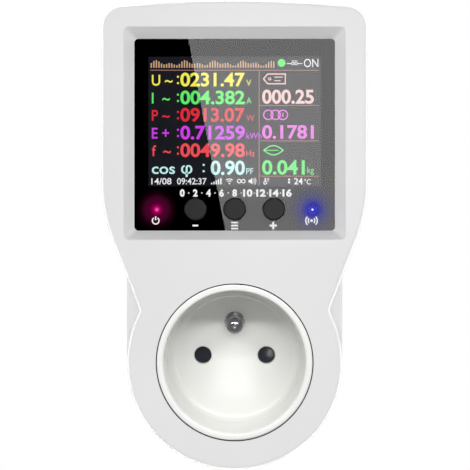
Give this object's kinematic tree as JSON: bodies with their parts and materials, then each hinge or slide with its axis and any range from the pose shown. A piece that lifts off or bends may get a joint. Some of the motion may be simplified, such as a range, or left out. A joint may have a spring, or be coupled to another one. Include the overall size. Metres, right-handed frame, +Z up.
{
  "type": "smart energy monitor",
  "caption": "Plug-in smart energy monitor with a colour screen, press buttons and status lamps above a shuttered round socket, and a plug on the back.",
  "frame": {"origin": "centre of the plug, midway between its two pins, on the end face that rests in the wall socket", "axes": "+X to the right seen from the front, +Y towards the wall along the plug pins, +Z up"},
  "size_m": [0.0752, 0.0732, 0.1326],
  "materials": {
    "blue_lamp": "lit lens",
    "board": "green solder resist",
    "button": "dark grey satin",
    "can_capacitor": "black sleeve",
    "carrier": "white moulded",
    "chip": "black moulded package",
    "connector": "ivory moulded",
    "contact": "bare stamped brass",
    "display_lens": "clear gloss sheet",
    "film_capacitor": "yellow case",
    "front_cover": "fine satin moulded white",
    "fuse": "black moulded case",
    "holder": "white moulded tray",
    "lcd": "dark display glass",
    "lens_mask": "black print",
    "live_wire": "brown insulation",
    "neutral_wire": "blue insulation",
    "pin": "nickel plated brass",
    "plug_body": "fine satin moulded white",
    "plunger": "black",
    "rear_cover": "fine satin moulded white",
    "red_lamp": "lit lens",
    "relay": "blue case",
    "ribbon": "grey insulation",
    "screw": "zinc plated",
    "shield": "tinned can",
    "shunt": "bare alloy strip",
    "shutter": "dark grey moulded",
    "socket_cup": "smooth warm white",
    "spring": "spring wire",
    "switch": "black moulded",
    "terminal": "green moulded blocks",
    "transformer": "taped winding on a ferrite core",
    "varistor": "blue coating"
  },
  "bodies": {
    "root": {"front_cover": "front_cover", "rear_cover": "rear_cover", "plug_body": "plug_body", "socket_cup": "socket_cup", "display_lens": "display_lens", "lens_mask": "lens_mask", "lcd_module": "lcd", "lcd_holder": "holder", "switch_minus": "switch", "switch_menu": "switch", "switch_plus": "switch", "power_lamp": "red_lamp", "link_lamp": "blue_lamp", "display_board": "board", "power_board": "board", "radio_module": "shield", "controller_chip": "chip", "metering_chip": "chip", "buzzer": "chip", "temperature_sensor": "chip", "relay": "relay", "transformer": "transformer", "noise_capacitor": "film_capacitor", "storage_capacitor": "can_capacitor", "output_capacitor": "can_capacitor", "fuse": "fuse", "varistor": "varistor", "shunt": "shunt", "board_terminals": "terminal", "board_connectors": "connector", "ribbon_lead": "ribbon", "supply_live_wire": "live_wire", "outlet_live_wire": "live_wire", "supply_neutral_wire": "neutral_wire", "outlet_neutral_wire": "neutral_wire", "plug_live_pin": "pin", "plug_neutral_pin": "pin", "outlet_earth_pin": "pin", "plug_earth_contact": "contact", "earth_strip": "contact", "earth_clip_top": "contact", "earth_clip_bottom": "contact", "outlet_live_contact": "contact", "outlet_neutral_contact": "contact", "contact_carrier": "carrier", "shutter_pivot": "pin", "shutter_spring": "spring", "casing_screws": "screw", "display_board_screws": "screw", "power_board_screws": "screw"},
    "minus_button": {"button_minus": "button", "switch_plunger_minus": "plunger"},
    "menu_button": {"button_menu": "button", "switch_plunger_menu": "plunger"},
    "plus_button": {"button_plus": "button", "switch_plunger_plus": "plunger"},
    "safety_shutter": {"shutter": "shutter"}
  },
  "joints": [
    {"name": "press_minus", "type": "slide", "parent": "root", "child": "minus_button", "axis": [0, 1, 0], "range_m": [0, 0.00035], "stiffness_N_per_m": 900},
    {"name": "press_menu", "type": "slide", "parent": "root", "child": "menu_button", "axis": [0, 1, 0], "range_m": [0, 0.00035], "stiffness_N_per_m": 900},
    {"name": "press_plus", "type": "slide", "parent": "root", "child": "plus_button", "axis": [0, 1, 0], "range_m": [0, 0.00035], "stiffness_N_per_m": 900},
    {"name": "open_shutter", "type": "hinge", "parent": "root", "child": "safety_shutter", "pos_m": [0, -0.0346, 0], "axis": [0, -1, 0], "range_deg": [0, 38], "stiffness_Nm_per_rad": 0.0006, "deforming": ["shutter_spring"]}
  ]
}
